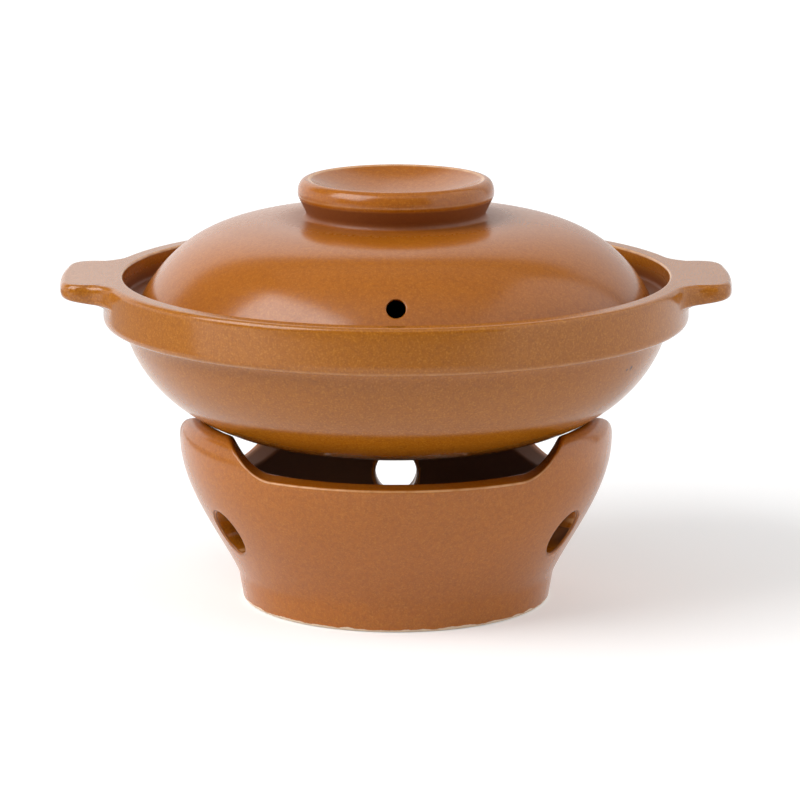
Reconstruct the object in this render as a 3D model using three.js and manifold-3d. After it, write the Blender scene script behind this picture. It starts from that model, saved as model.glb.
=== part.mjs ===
// Ceramic stew pot on its burner stand.
// Millimetres, +Z up. The origin is the centre of the stand's underside.
// The handles lie along X and the front of the stand faces -Y.

import * as THREE from 'three';
import { mergeVertices } from 'three/addons/utils/BufferGeometryUtils.js';
import Module from 'manifold-3d';

const wasm = await Module();
wasm.setup();

// Fit and facets
const SEAT_GAP = 0.3;
const TURN_SEGMENTS = 60;
const CURVE_STEPS = 9;
const EDGE_STEPS = 3;
const CUT_MARGIN = 12;

// Burner stand wall
const STAND_HEIGHT = 77;
const STAND_FOOT_RADIUS = 63.2;
const STAND_WAIST_RADIUS = 64.8;
const STAND_WAIST_HEIGHT = 11;
const STAND_SHOULDER_RADIUS = 88.5;
const STAND_SHOULDER_HEIGHT = 67.8;
const STAND_FLARE_EASE = 1.15;
const STAND_WALL = 12;
const STAND_FLOOR = 8;
const STAND_FLOOR_FILLET = 7;
const FOOT_EDGE = 1.6;
const FOOT_RING_WIDTH = 8;
const FOOT_RING_DEPTH = 2.5;

// Lugs that carry the pot, and the openings between them
const LUG_SHOULDER_DRAW = 5.5;
const LUG_SHOULDER_DROP = 1.6;
const LUG_LAND_WIDTH = 3;
const FRONT_NOTCH_DEPTH = 12.9;
const FRONT_NOTCH_FLOOR_WIDTH = 98.8;
const FRONT_NOTCH_ELBOW_WIDTH = 116;
const FRONT_NOTCH_TOP_WIDTH = 130;
const FRONT_NOTCH_ROUND = 1.5;
const FRONT_NOTCH_STEPS = 5;
const REAR_SCOOP_RADIUS = 56;
const REAR_SCOOP_DEPTH = 32.2;
const REAR_SCOOP_SEGMENTS = 24;
const LUG_PITCH = THREE.MathUtils.degToRad(120);

// Round draft holes, one under each lug
const DRAFT_HOLE_DIAMETER = 17.6;
const DRAFT_HOLE_HEIGHT = 35.2;
const DRAFT_HOLE_SEGMENTS = 24;

// Pot bowl
const BOWL_RADIUS = 110.8;
const BOWL_DEPTH = 51.8;
const BOWL_FLANK_POWER = 1.634;
const BOWL_BASE_POWER = 3.4;
const BOWL_WALL = 7.5;
const BOWL_FLOOR = 7.5;

// Pot rim band and the ledge inside it
const BAND_STEP = 8.2;
const BAND_HEIGHT = 18.8;
const BAND_LAP = 2;
const BAND_EDGE = 3;
const RIM_WALL = 8;
const RIM_OUTER_ROUND = 2.2;
const RIM_INNER_ROUND = 1.2;
const LEDGE_DEPTH = 10.3;
const LEDGE_LIP_HEIGHT = 9;

// Handle tabs
const HANDLE_LENGTH = 17.2;
const HANDLE_WIDTH = 58;
const HANDLE_TIP_THICKNESS = 6.4;
const HANDLE_ROOT_THICKNESS = 8.2;
const HANDLE_CORNER = 13;
const HANDLE_FILLET = 14;
const HANDLE_EDGE = 2;
const HANDLE_CURVE_STEPS = 6;

// Lid dome
const LID_MARGIN = 7.2;
const LID_BEARING = 4.5;
const LID_RISE = 33.4;
const LID_WALL = 6;
const LID_CROWN_POWER = 5;
const LID_SHOULDER_POWER = 1.1;

// Steam vent in the lid
const VENT_DIAMETER = 7.6;
const VENT_INSET = 8.9;
const VENT_SLOPE = THREE.MathUtils.degToRad(16);
const VENT_SEGMENTS = 16;

// Lid knob
const KNOB_HEIGHT = 15.6;
const KNOB_BASE_RADIUS = 36.4;
const KNOB_FLARE = 3.5;
const KNOB_LIP_HEIGHT = 6.5;
const KNOB_LIP_WIDTH = 4.4;
const KNOB_FILLET = 2;
const KNOB_DISH_DEPTH = 8.7;

// Fuel cup
const FUEL_CUP_RADIUS = 32;
const FUEL_CUP_HEIGHT = 23;
const FUEL_CUP_WALL = 1.2;
const FUEL_CUP_CORNER = 5;
const FUEL_CUP_BEAD = 1.4;
const FUEL_CUP_SEGMENTS = 40;

// Sizes that follow from the ones above
const rimRadius = BOWL_RADIUS + BAND_STEP;
const rimInnerRadius = rimRadius - RIM_WALL;
const bandBottom = BOWL_DEPTH - BAND_LAP;
const rimTop = bandBottom + BAND_HEIGHT;
const ledgeHeight = rimTop - LEDGE_DEPTH;
const lidRadius = rimInnerRadius - LID_MARGIN;
const ledgeInnerRadius = lidRadius - LID_BEARING;
const handleReach = rimRadius + HANDLE_LENGTH;
const lugOuterRadius = STAND_SHOULDER_RADIUS - LUG_SHOULDER_DRAW;
const lugSeatRadius = lugOuterRadius - LUG_LAND_WIDTH;
const standFloorTop = FOOT_RING_DEPTH + STAND_FLOOR;
const knobBottom = domeHeight(KNOB_BASE_RADIUS, lidRadius, LID_RISE);
const knobTop = LID_RISE + KNOB_HEIGHT;
const knobCrestRadius = KNOB_BASE_RADIUS + KNOB_FLARE - KNOB_LIP_WIDTH;

// Heights at which each piece stands
const potHeight = STAND_HEIGHT - bowlRise(lugSeatRadius, BOWL_RADIUS, BOWL_DEPTH);
const lidHeight = ledgeHeight + SEAT_GAP;
const fuelCupHeight = standFloorTop + SEAT_GAP;

// Glazes and metal
const glaze = { roughness: 0.32, metalness: 0 };
const standGlaze = new THREE.MeshStandardMaterial({ color: 0xb06e3c, ...glaze });
const potGlaze = new THREE.MeshStandardMaterial({ color: 0xa8713f, ...glaze });
const lidGlaze = new THREE.MeshStandardMaterial({ color: 0xb5703a, ...glaze });
const steel = new THREE.MeshStandardMaterial({ color: 0xb9bcbe, roughness: 0.35, metalness: 1 });

// Curves of the turned forms

// Height of the bowl's surface above its lowest point, at a distance from the axis.
function bowlRise(radius, rim, depth) {
  const drop = Math.pow(1 - Math.pow(radius / rim, BOWL_BASE_POWER), 1 / BOWL_FLANK_POWER);
  return depth * (1 - drop);
}

// Points up the bowl's surface, from its lowest point to a height above it.
function bowlCurve(rim, depth, bottom, top) {
  const points = [];
  const reach = Math.acos(1 - top / depth);
  for (let i = 0; i <= CURVE_STEPS; i++) {
    const drop = Math.cos(reach * (i / CURVE_STEPS));
    const share = Math.pow(1 - Math.pow(drop, BOWL_FLANK_POWER), 1 / BOWL_BASE_POWER);
    points.push(new THREE.Vector2(rim * share, bottom + depth * (1 - drop)));
  }
  return points;
}

// Height of the dome above its edge, at a distance from the axis.
function domeHeight(radius, edge, rise) {
  return rise * Math.pow(1 - Math.pow(radius / edge, LID_CROWN_POWER), 1 / LID_SHOULDER_POWER);
}

// Points up the dome from its edge to a distance from the axis.
function domeCurve(edge, rise, innermost) {
  const points = [];
  const reach = Math.acos(innermost / edge);
  for (let i = 0; i <= CURVE_STEPS; i++) {
    const radius = edge * Math.cos(reach * (i / CURVE_STEPS));
    points.push(new THREE.Vector2(radius, domeHeight(radius, edge, rise)));
  }
  return points;
}

// Outside radius of the stand's flared wall, between its waist and its shoulder.
function standRadius(height) {
  const span = STAND_SHOULDER_HEIGHT - STAND_WAIST_HEIGHT;
  const share = THREE.MathUtils.clamp((height - STAND_WAIST_HEIGHT) / span, 0, 1);
  const ease = Math.sin((Math.PI / 2) * Math.pow(share, STAND_FLARE_EASE));
  return STAND_WAIST_RADIUS + (STAND_SHOULDER_RADIUS - STAND_WAIST_RADIUS) * ease;
}

// Points up the flared wall, set in by a distance.
function standWallCurve(from, inset) {
  const points = [];
  for (let i = 0; i <= CURVE_STEPS; i++) {
    const height = THREE.MathUtils.lerp(from, STAND_SHOULDER_HEIGHT, i / CURVE_STEPS);
    points.push(new THREE.Vector2(standRadius(height) - inset, height));
  }
  return points;
}

// Joins points to the end of an outline with straight lines.
function follow(path, points) {
  points.forEach((point) => path.lineTo(point.x, point.y));
}

// Solids

// A closed mesh as a solid that can be joined and cut.
function toSolid(geometry) {
  const bare = geometry.clone();
  bare.deleteAttribute('normal');
  bare.deleteAttribute('uv');
  const merged = mergeVertices(bare, 1e-4);
  const corners = merged.index.array;
  const triangles = [];
  for (let i = 0; i < corners.length; i += 3) {
    const [a, b, c] = corners.slice(i, i + 3);
    if (a !== b && b !== c && c !== a) triangles.push(a, b, c);
  }
  const mesh = new wasm.Mesh({
    numProp: 3,
    vertProperties: new Float32Array(merged.attributes.position.array),
    triVerts: new Uint32Array(triangles),
  });
  return new wasm.Manifold(mesh);
}

function toGeometry(solid) {
  const mesh = solid.getMesh();
  const geometry = new THREE.BufferGeometry();
  geometry.setAttribute('position', new THREE.BufferAttribute(mesh.vertProperties, 3));
  geometry.setIndex(new THREE.BufferAttribute(mesh.triVerts, 1));
  geometry.computeVertexNormals();
  return geometry;
}

// A solid turned about Z from an outline that runs up the outside and back down the inside.
function turned(path, segments) {
  const geometry = new THREE.LatheGeometry(path.getPoints(EDGE_STEPS), segments);
  return toSolid(geometry.rotateX(Math.PI / 2));
}

// An outline in X and Z, drawn out along Y from one place to another.
function drawnOut(shape, fromY, toY, steps) {
  const geometry = new THREE.ExtrudeGeometry(shape, {
    depth: toY - fromY,
    bevelEnabled: false,
    curveSegments: steps,
  });
  geometry.rotateX(Math.PI / 2);
  geometry.translate(0, toY, 0);
  return toSolid(geometry);
}

function named(name, solid, material) {
  const mesh = new THREE.Mesh(toGeometry(solid), material);
  mesh.name = name;
  return mesh;
}

// Burner stand

function standBlank() {
  const footInner = STAND_FOOT_RADIUS - FOOT_RING_WIDTH;
  const wall = new THREE.Path();
  wall.moveTo(0, FOOT_RING_DEPTH);
  wall.lineTo(footInner, FOOT_RING_DEPTH);
  wall.lineTo(footInner, 0);
  wall.lineTo(STAND_FOOT_RADIUS - FOOT_EDGE, 0);
  wall.quadraticCurveTo(STAND_FOOT_RADIUS, 0, STAND_FOOT_RADIUS, FOOT_EDGE);
  follow(wall, standWallCurve(STAND_WAIST_HEIGHT, 0));
  const shoulderCrown = STAND_HEIGHT - LUG_SHOULDER_DROP;
  wall.quadraticCurveTo(STAND_SHOULDER_RADIUS, shoulderCrown, lugOuterRadius, STAND_HEIGHT);

  const innerStart = standFloorTop + STAND_FLOOR_FILLET;
  const inner = standWallCurve(innerStart, STAND_WALL).reverse();
  const floorCorner = inner[inner.length - 1].x;
  wall.lineTo(inner[0].x, STAND_HEIGHT);
  follow(wall, inner);
  wall.quadraticCurveTo(floorCorner, standFloorTop, floorCorner - STAND_FLOOR_FILLET, standFloorTop);
  wall.lineTo(0, standFloorTop);
  return turned(wall, TURN_SEGMENTS);
}

// The wide notch at the front: a level floor that sweeps up to steep sides, then rounds on to the lugs.
function frontNotch() {
  const floor = STAND_HEIGHT - FRONT_NOTCH_DEPTH;
  const lip = STAND_HEIGHT - FRONT_NOTCH_ROUND;
  const above = STAND_HEIGHT + CUT_MARGIN;
  const floorHalf = FRONT_NOTCH_FLOOR_WIDTH / 2;
  const elbow = FRONT_NOTCH_ELBOW_WIDTH / 2;
  const topHalf = FRONT_NOTCH_TOP_WIDTH / 2;
  const lug = topHalf + (topHalf - elbow) * FRONT_NOTCH_ROUND / (lip - floor);
  const mouth = lug + FRONT_NOTCH_ROUND;

  const notch = new THREE.Shape();
  notch.moveTo(-mouth, above);
  notch.lineTo(-mouth, STAND_HEIGHT);
  notch.quadraticCurveTo(-lug, STAND_HEIGHT, -topHalf, lip);
  notch.quadraticCurveTo(-elbow, floor, -floorHalf, floor);
  notch.lineTo(floorHalf, floor);
  notch.quadraticCurveTo(elbow, floor, topHalf, lip);
  notch.quadraticCurveTo(lug, STAND_HEIGHT, mouth, STAND_HEIGHT);
  notch.lineTo(mouth, above);
  return drawnOut(notch, -STAND_SHOULDER_RADIUS - CUT_MARGIN, 0, FRONT_NOTCH_STEPS);
}

// A round-bottomed scoop through the wall, first made at the front and then swung to its place.
function rearScoop(angle) {
  const scoop = new THREE.Shape();
  scoop.absarc(0, STAND_HEIGHT - REAR_SCOOP_DEPTH + REAR_SCOOP_RADIUS, REAR_SCOOP_RADIUS, 0, 2 * Math.PI);
  const solid = drawnOut(scoop, -STAND_SHOULDER_RADIUS - CUT_MARGIN, 0, REAR_SCOOP_SEGMENTS);
  return solid.rotate([0, 0, THREE.MathUtils.radToDeg(angle)]);
}

// A level hole through the wall, on the axis of the stand.
function draftHole(angle) {
  const length = STAND_SHOULDER_RADIUS + CUT_MARGIN;
  const radius = DRAFT_HOLE_DIAMETER / 2;
  const hole = new THREE.CylinderGeometry(radius, radius, length, DRAFT_HOLE_SEGMENTS);
  hole.translate(0, -length / 2, 0);
  hole.translate(0, 0, DRAFT_HOLE_HEIGHT);
  hole.rotateZ(angle);
  return toSolid(hole);
}

// The bowl's own surface, lowered by the seat gap, cuts the seats in the lugs.
function seatCutter() {
  const bottom = potHeight - SEAT_GAP;
  const bowl = new THREE.Path();
  bowl.moveTo(0, bottom);
  follow(bowl, bowlCurve(BOWL_RADIUS, BOWL_DEPTH, bottom, bandBottom));
  bowl.lineTo(0, bottom + bandBottom);
  return turned(bowl, TURN_SEGMENTS);
}

function burnerStand() {
  let stand = standBlank().subtract(frontNotch());
  [LUG_PITCH, -LUG_PITCH].forEach((angle) => {
    stand = stand.subtract(rearScoop(angle));
  });
  [LUG_PITCH / 2, -LUG_PITCH / 2, Math.PI].forEach((angle) => {
    stand = stand.subtract(draftHole(angle));
  });
  return named('burner_stand', stand.subtract(seatCutter()), standGlaze);
}

// Pot body

function potBowl() {
  const wall = new THREE.Path();
  wall.moveTo(0, 0);
  follow(wall, bowlCurve(BOWL_RADIUS, BOWL_DEPTH, 0, bandBottom));
  wall.lineTo(rimRadius - BAND_EDGE, bandBottom);
  wall.quadraticCurveTo(rimRadius, bandBottom, rimRadius, bandBottom + BAND_EDGE);
  wall.lineTo(rimRadius, rimTop - RIM_OUTER_ROUND);
  wall.quadraticCurveTo(rimRadius, rimTop, rimRadius - RIM_OUTER_ROUND, rimTop);
  wall.lineTo(rimInnerRadius + RIM_INNER_ROUND, rimTop);
  wall.quadraticCurveTo(rimInnerRadius, rimTop, rimInnerRadius, rimTop - RIM_INNER_ROUND);
  wall.lineTo(rimInnerRadius, ledgeHeight);
  wall.lineTo(ledgeInnerRadius, ledgeHeight);

  const innerDepth = ledgeHeight - LEDGE_LIP_HEIGHT - BOWL_FLOOR;
  const inner = bowlCurve(BOWL_RADIUS - BOWL_WALL, innerDepth, BOWL_FLOOR, innerDepth);
  follow(wall, inner.reverse());
  return turned(wall, TURN_SEGMENTS);
}

// The outline of a handle seen from above: a concave sweep out of the rim on each side, rounded
// corners and a tip that runs parallel to the rim.
function handleOutline() {
  const half = HANDLE_WIDTH / 2;
  const filletY = half + HANDLE_FILLET;
  const filletX = Math.sqrt((rimRadius + HANDLE_FILLET) ** 2 - filletY ** 2);
  const rimAngle = Math.atan2(filletY, filletX);
  const tipAngle = Math.asin((half - HANDLE_CORNER) / handleReach);
  const cornerX = handleReach * Math.cos(tipAngle);
  const root = rimRadius - RIM_WALL / 2;

  const outline = new THREE.Shape();
  outline.absarc(0, 0, root, rimAngle, -rimAngle, true);
  outline.absarc(filletX, -filletY, HANDLE_FILLET, Math.PI - rimAngle, Math.PI / 2, true);
  outline.quadraticCurveTo(cornerX, -half, cornerX, -half + HANDLE_CORNER);
  outline.absarc(0, 0, handleReach, -tipAngle, tipAngle, false);
  outline.quadraticCurveTo(cornerX, half, filletX, half);
  outline.absarc(filletX, filletY, HANDLE_FILLET, -Math.PI / 2, rimAngle - Math.PI, true);
  return outline;
}

// The handle seen from the front: level on top, thinning towards a rounded tip.
function handleSection() {
  const slope = (HANDLE_ROOT_THICKNESS - HANDLE_TIP_THICKNESS) / HANDLE_LENGTH;
  const rootBottom = rimTop - HANDLE_ROOT_THICKNESS - slope * rimRadius;
  const tipBottom = rimTop - HANDLE_TIP_THICKNESS;
  const edgeBottom = tipBottom - slope * HANDLE_EDGE;

  const section = new THREE.Shape();
  section.moveTo(0, rimTop);
  section.lineTo(0, rootBottom);
  section.lineTo(handleReach - HANDLE_EDGE, edgeBottom);
  section.quadraticCurveTo(handleReach, tipBottom, handleReach, tipBottom + HANDLE_EDGE);
  section.lineTo(handleReach, rimTop - HANDLE_EDGE);
  section.quadraticCurveTo(handleReach, rimTop, handleReach - HANDLE_EDGE, rimTop);
  return section;
}

function handle() {
  const slab = new THREE.ExtrudeGeometry(handleOutline(), {
    depth: BAND_HEIGHT,
    bevelEnabled: false,
    curveSegments: HANDLE_CURVE_STEPS,
  });
  slab.translate(0, 0, rimTop - BAND_HEIGHT);
  return toSolid(slab).intersect(drawnOut(handleSection(), -rimRadius, rimRadius, EDGE_STEPS));
}

function potBody() {
  const right = handle();
  const left = right.rotate([0, 0, 180]);
  return named('pot_body', potBowl().add(right).add(left), potGlaze);
}

// Lid

function lidBlank() {
  const lipRadius = KNOB_BASE_RADIUS + KNOB_FLARE;
  const filletRadius = KNOB_BASE_RADIUS + KNOB_FILLET;
  const crease = knobTop - KNOB_LIP_HEIGHT;

  const shell = new THREE.Path();
  shell.moveTo(lidRadius - LID_WALL, 0);
  follow(shell, domeCurve(lidRadius, LID_RISE, filletRadius));
  shell.quadraticCurveTo(KNOB_BASE_RADIUS, knobBottom, KNOB_BASE_RADIUS, knobBottom + KNOB_FILLET);
  shell.lineTo(lipRadius, crease);
  shell.quadraticCurveTo(lipRadius, knobTop, knobCrestRadius, knobTop);
  shell.quadraticCurveTo(knobCrestRadius / 2, knobTop - KNOB_DISH_DEPTH, 0, knobTop - KNOB_DISH_DEPTH);
  follow(shell, domeCurve(lidRadius - LID_WALL, LID_RISE - LID_WALL, 0).reverse());
  return turned(shell, TURN_SEGMENTS);
}

// The vent runs through the dome at the front, close to level.
function steamVent() {
  const radius = lidRadius - VENT_INSET;
  const height = domeHeight(radius, lidRadius, LID_RISE);
  const vent = new THREE.CylinderGeometry(
    VENT_DIAMETER / 2, VENT_DIAMETER / 2, LID_WALL + 2 * CUT_MARGIN, VENT_SEGMENTS);
  vent.rotateX(-VENT_SLOPE);
  vent.translate(0, -radius, height);
  return toSolid(vent);
}

function lid() {
  return named('lid', lidBlank().subtract(steamVent()), lidGlaze);
}

// Fuel cup

function fuelCup() {
  const inner = FUEL_CUP_RADIUS - FUEL_CUP_WALL;
  const beadRadius = FUEL_CUP_RADIUS + FUEL_CUP_BEAD;
  const beadBottom = FUEL_CUP_HEIGHT - 2 * FUEL_CUP_BEAD;
  const innerCorner = FUEL_CUP_CORNER - FUEL_CUP_WALL;

  const wall = new THREE.Path();
  wall.moveTo(0, 0);
  wall.lineTo(FUEL_CUP_RADIUS - FUEL_CUP_CORNER, 0);
  wall.quadraticCurveTo(FUEL_CUP_RADIUS, 0, FUEL_CUP_RADIUS, FUEL_CUP_CORNER);
  wall.lineTo(FUEL_CUP_RADIUS, beadBottom);
  wall.quadraticCurveTo(beadRadius, beadBottom, beadRadius, beadBottom + FUEL_CUP_BEAD);
  wall.quadraticCurveTo(beadRadius, FUEL_CUP_HEIGHT, FUEL_CUP_RADIUS, FUEL_CUP_HEIGHT);
  wall.lineTo(inner, FUEL_CUP_HEIGHT);
  wall.lineTo(inner, FUEL_CUP_CORNER);
  wall.quadraticCurveTo(inner, FUEL_CUP_WALL, inner - innerCorner, FUEL_CUP_WALL);
  wall.lineTo(0, FUEL_CUP_WALL);
  return named('fuel_cup', turned(wall, FUEL_CUP_SEGMENTS), steel);
}

// The set, each piece standing on the one that carries it

const set = new THREE.Group();
set.add(burnerStand());

const cup = fuelCup();
cup.position.z = fuelCupHeight;
set.add(cup);

const coveredPot = new THREE.Group();
coveredPot.position.z = potHeight;
const cover = lid();
cover.position.z = lidHeight;
coveredPot.add(potBody(), cover);
set.add(coveredPot);

export default set;
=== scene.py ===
"""Ceramic stew pot on its burner stand: fine glazed surfaces, studio and camera.

Metres, +Z up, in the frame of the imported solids. The handles lie along X and the front faces -Y.
"""

import math

import bmesh
import bpy
import numpy as np
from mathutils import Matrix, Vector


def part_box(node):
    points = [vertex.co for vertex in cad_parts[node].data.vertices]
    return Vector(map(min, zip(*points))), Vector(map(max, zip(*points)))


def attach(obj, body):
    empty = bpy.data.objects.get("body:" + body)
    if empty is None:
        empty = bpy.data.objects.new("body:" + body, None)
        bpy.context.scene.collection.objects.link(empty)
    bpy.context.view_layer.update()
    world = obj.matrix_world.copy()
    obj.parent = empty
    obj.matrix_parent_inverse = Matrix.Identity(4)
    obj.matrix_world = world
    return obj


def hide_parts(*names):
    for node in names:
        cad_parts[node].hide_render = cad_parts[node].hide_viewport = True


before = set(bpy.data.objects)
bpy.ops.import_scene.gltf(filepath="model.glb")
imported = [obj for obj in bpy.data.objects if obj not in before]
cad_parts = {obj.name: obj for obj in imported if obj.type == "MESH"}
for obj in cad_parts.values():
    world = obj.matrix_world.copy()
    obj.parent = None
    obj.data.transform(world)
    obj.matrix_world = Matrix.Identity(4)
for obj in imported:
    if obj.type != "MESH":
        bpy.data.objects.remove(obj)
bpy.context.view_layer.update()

MM = 0.001

# Sizes taken from the solids
stand_low, stand_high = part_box("burner_stand")
pot_low, pot_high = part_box("pot_body")
lid_low, lid_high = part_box("lid")
cup_low, cup_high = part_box("fuel_cup")

STAND_HEIGHT = stand_high.z
POT_BOTTOM = pot_low.z
RIM_TOP = pot_high.z
RIM_RADIUS = pot_high.y
HANDLE_REACH = pot_high.x
LID_RADIUS = lid_high.y
LID_EDGE = lid_low.z
KNOB_TOP = lid_high.z
CUP_BOTTOM = cup_low.z
CUP_TOP = cup_high.z
CUP_BEAD_RADIUS = cup_high.y
SEAT_GAP = 0.3 * MM

# Burner stand
FOOT_RADIUS = 63.2 * MM
FOOT_EDGE = 1.6 * MM
FOOT_RING_WIDTH = 8 * MM
FOOT_RING_DEPTH = 2.5 * MM
WAIST_RADIUS = 64.8 * MM
WAIST_HEIGHT = 11 * MM
SHOULDER_RADIUS = 88.5 * MM
SHOULDER_HEIGHT = 67.8 * MM
SHOULDER_DRAW = 5.5 * MM
SHOULDER_DROP = 1.6 * MM
FLARE_EASE = 1.15
STAND_WALL = 12 * MM
STAND_FLOOR_TOP = 10.5 * MM
FLOOR_FILLET = 7 * MM
STAND_EDGE = 1.3 * MM
NOTCH_FLOOR = 64.1 * MM
NOTCH_FLOOR_HALF = 49.4 * MM
NOTCH_ELBOW_HALF = 58 * MM
NOTCH_TOP_HALF = 65 * MM
NOTCH_ROUND = 1.5 * MM
SCOOP_RADIUS = 56 * MM
SCOOP_FLOOR = 44.8 * MM
SCOOP_LIP_ROUND = 4 * MM
SCOOP_TURN = math.radians(120)
SEAT_EASE = 0.5 * MM
# Painted shade on the rear scoops: how far below the top of the lugs it starts and is full, and the share of
# the stand's top, from its outer edge, over which it comes in
SCOOP_SHADE_START = 5 * MM
SCOOP_SHADE_FULL = 12 * MM
SHADE_EDGE_SHARE = 0.25
STAND_EDGE_SHARE = 0.4

# Draft holes
DRAFT_HOLE_RADIUS = 8.8 * MM
DRAFT_HOLE_HEIGHT = 35.2 * MM
DRAFT_HOLE_COUNT = 3
DRAFT_HOLE_EDGE = 1.3 * MM

# Pot
BOWL_RADIUS = 110.8 * MM
BOWL_DEPTH = 51.8 * MM
BOWL_FLANK_POWER = 1.634
BOWL_BASE_POWER = 3.4
BOWL_WALL = 7.5 * MM
BOWL_FLOOR = 7.5 * MM
BAND_LAP = 2 * MM
BAND_EDGE = 3 * MM
BAND_FILLET = 3 * MM
RIM_WALL = 8 * MM
RIM_OUTER_ROUND = 2.6 * MM
RIM_INNER_ROUND = 1.2 * MM
LEDGE_DEPTH = 10.3 * MM
LEDGE_LIP_HEIGHT = 9 * MM
LEDGE_INNER_RADIUS = 99.3 * MM
LEDGE_ROUND = 1.6 * MM
HANDLE_HALF_WIDTH = 29 * MM
HANDLE_CORNER = 13 * MM
HANDLE_FILLET = 14 * MM
HANDLE_ROOT_THICKNESS = 8.2 * MM
HANDLE_TIP_THICKNESS = 6.4 * MM
HANDLE_EDGE = 2.4 * MM
HANDLE_EDGE_DROP = 3.6 * MM
HANDLE_ROOT_FILLET = 3 * MM
HANDLE_ROOT_DROP = 1 * MM
HANDLE_EDGE_GROWTH = 0.9
HANDLE_DROP_GROWTH = 0.3

# Lid and knob
LID_RISE = 33.4 * MM
LID_WALL = 6 * MM
LID_EDGE_ROUND = 1.2 * MM
LID_CROWN_POWER = 5
LID_SHOULDER_POWER = 1.1
KNOB_BASE_RADIUS = 36.4 * MM
KNOB_FLARE = 3.5 * MM
KNOB_LIP_HEIGHT = 6.5 * MM
KNOB_LIP_WIDTH = 4.4 * MM
KNOB_FILLET = 2 * MM
KNOB_DISH_DEPTH = 8.7 * MM
KNOB_CREASE_ROUND = 0.8 * MM
# How far out from the knob's foot the dome's pooled glaze and painted shade reach
POOL_SHADE_REACH = 22 * MM
VENT_RADIUS = 3.8 * MM
VENT_INSET = 8.9 * MM
VENT_SLOPE = math.radians(16)
VENT_EDGE = 0.6 * MM
VENT_SEARCH = 3 * LID_WALL

# Fuel cup
CUP_BEAD = 1.4 * MM
CUP_WALL = 1.2 * MM
CUP_CORNER = 5 * MM

# How far the glaze breaks on an edge at most, which also paints a highlight there, or pools, below zero,
# which also paints shade there
STAND_INNER_BREAK_HIGHLIGHT = 0.5
BAND_BREAK_HIGHLIGHT = 0.6
HANDLE_UNDER_BREAK_HIGHLIGHT = 0.5
HANDLE_TIP_BREAK_HIGHLIGHT = 0.45
LEDGE_BREAK_HIGHLIGHT = 0.6
CREASE_BREAK_HIGHLIGHT = 0.6
HOLE_INNER_BREAK_HIGHLIGHT = 0.3
FULL_BREAK_HIGHLIGHT = 1.0
RIM_WALL_POOL_SHADE = -0.7
DOME_POOL_SHADE = -0.5
FULL_POOL_SHADE = -1.0

# Fineness of the meshes: columns round the axis, rows along a stretch and steps round a corner
STAND_COLUMNS = 640
EDGE_SAMPLES = 7200
RIM_COLUMNS = 78
LID_COLUMNS = 320
CUP_COLUMNS = 160
HOLE_POINTS = 72
FOOT_ROWS = 4
WAIST_ROWS = 5
STAND_WALL_ROWS = 34
STAND_TOP_ROWS = 7
STAND_INSIDE_ROWS = 26
FLOOR_ROWS = 6
BOWL_ROWS = 34
BAND_ROWS = 2
HANDLE_UNDER_ROWS = 3
RIM_ROWS = 4
SHELF_ROWS = 3
LEDGE_LIP_ROWS = 2
DOME_ROWS = 60
DOME_INNER_ROWS = 36
KNOB_CONE_ROWS = 4
CUP_WALL_ROWS = 3
CUP_INSIDE_ROWS = 5
CORNER_STEPS = 6
SMALL_CORNER_STEPS = 4
FOOT_CORNER_STEPS = 3
LIP_STEPS = 5
RIM_EDGE_STEPS = 8
HANDLE_EDGE_STEPS = 10
HANDLE_TIP_STEPS = 9
HANDLE_CORNER_STEPS = 18
HANDLE_FILLET_STEPS = 20
NOTCH_STEPS = 24
KNOB_LIP_STEPS = 24
KNOB_DISH_STEPS = 40
HOLE_EDGE_STEPS = 7

# Rows that give way to a rounded corner
BOWL_TRIM = 3
DOME_TRIM = 4
KNOB_LIP_TRIM = 3
KNOB_DISH_TRIM = 2

# Limits of the numeric work
LEG_SHARE = 0.45
MERGE_DISTANCE = 1e-7
HALVINGS = 40


# Curves of the turned forms

def bowl_rise(radius):
    """Height of the bowl's outside above its lowest point, at a distance from the axis."""
    drop = np.clip(1 - (radius / BOWL_RADIUS) ** BOWL_BASE_POWER, 0, 1) ** (1 / BOWL_FLANK_POWER)
    return BOWL_DEPTH * (1 - drop)


def bowl_curve(rim, depth, bottom, top, steps):
    """Points up the side of a bowl, from its lowest point to a height above it."""
    drop = np.cos(np.linspace(0, math.acos(1 - top / depth), steps + 1))
    radius = rim * (1 - drop ** BOWL_FLANK_POWER) ** (1 / BOWL_BASE_POWER)
    return np.stack([radius, bottom + depth * (1 - drop)], -1)


def dome_height(radius, edge, rise):
    """Height of the lid's dome above its edge, at a distance from the axis."""
    fall = np.clip(1 - (radius / edge) ** LID_CROWN_POWER, 0, 1)
    return rise * fall ** (1 / LID_SHOULDER_POWER)


def dome_curve(edge, rise, innermost, steps):
    """Points over the dome, from its edge in to a distance from the axis."""
    radius = edge * np.cos(np.linspace(0, math.acos(innermost / edge), steps + 1))
    return np.stack([radius, LID_EDGE + dome_height(radius, edge, rise)], -1)


def flare_radius(height):
    """Outside radius of the stand's wall at a height, up to its shoulder."""
    share = np.clip((height - WAIST_HEIGHT) / (SHOULDER_HEIGHT - WAIST_HEIGHT), 0, 1)
    return WAIST_RADIUS + (SHOULDER_RADIUS - WAIST_RADIUS) * np.sin(math.pi / 2 * share ** FLARE_EASE)


def outer_wall(climb):
    """Radius and height of the stand's outside, up the flare and then over the shoulder of a lug."""
    rise = STAND_HEIGHT - SHOULDER_HEIGHT
    over = np.clip((climb - SHOULDER_HEIGHT) / rise, 0, 1)
    height = np.minimum(climb, SHOULDER_HEIGHT)
    height = height + 2 * over * (1 - over) * (rise - SHOULDER_DROP) + over ** 2 * rise
    return np.stack([flare_radius(climb) - SHOULDER_DRAW * over ** 2, height], -1)


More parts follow.
